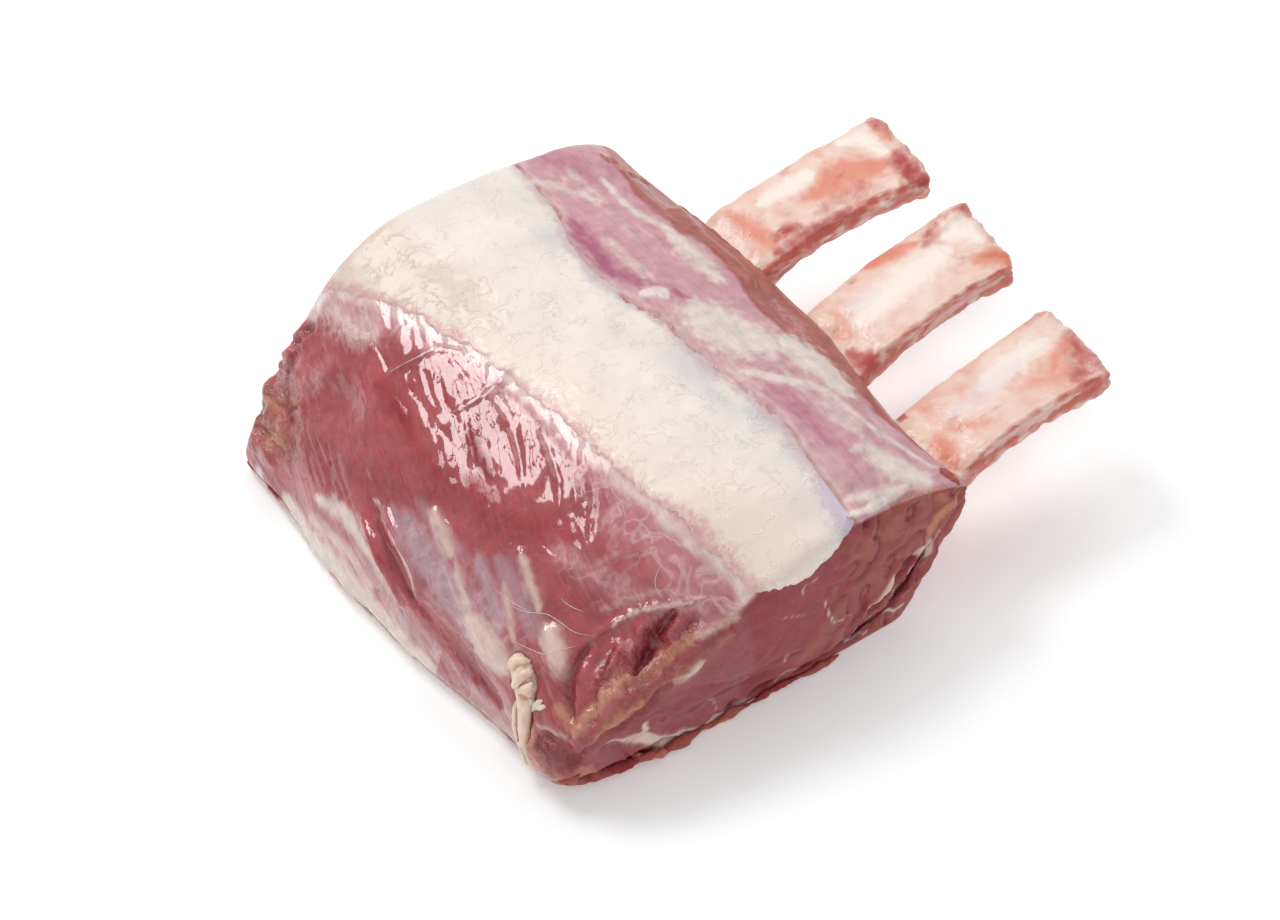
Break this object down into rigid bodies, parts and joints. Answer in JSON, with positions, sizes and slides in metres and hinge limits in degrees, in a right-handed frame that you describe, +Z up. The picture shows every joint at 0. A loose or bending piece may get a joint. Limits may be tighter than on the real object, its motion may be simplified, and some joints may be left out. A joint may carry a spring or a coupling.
{
  "type": "frenched rack",
  "caption": "Raw frenched rack of veal: a loin of meat with a white silverskin band over its top, lying on its bed of rib meat, with scraped rib bones standing out of one side.",
  "frame": {"origin": "bottom centre of the whole part's box, on the surface that it rests on", "axes": "+X out along the frenched bones, +Y along the spine away from the sawn eye of the loin, +Z up through the silverskin"},
  "size_m": [0.2421, 0.1916, 0.0775],
  "materials": {
    "loin_meat": null,
    "rib_meat": "raw rib meat, moist",
    "silverskin": "white silverskin, moist sheen",
    "ligament": "cream ligament and fat",
    "bone": "scraped bone with pink patches, moist"
  },
  "bodies": {
    "root": {"loin": "loin_meat", "rib_bed": "rib_meat", "silverskin": "silverskin", "ligament": "ligament", "rib_bone_1": "bone", "rib_bone_2": "bone", "rib_bone_3": "bone"}
  },
  "joints": []
}
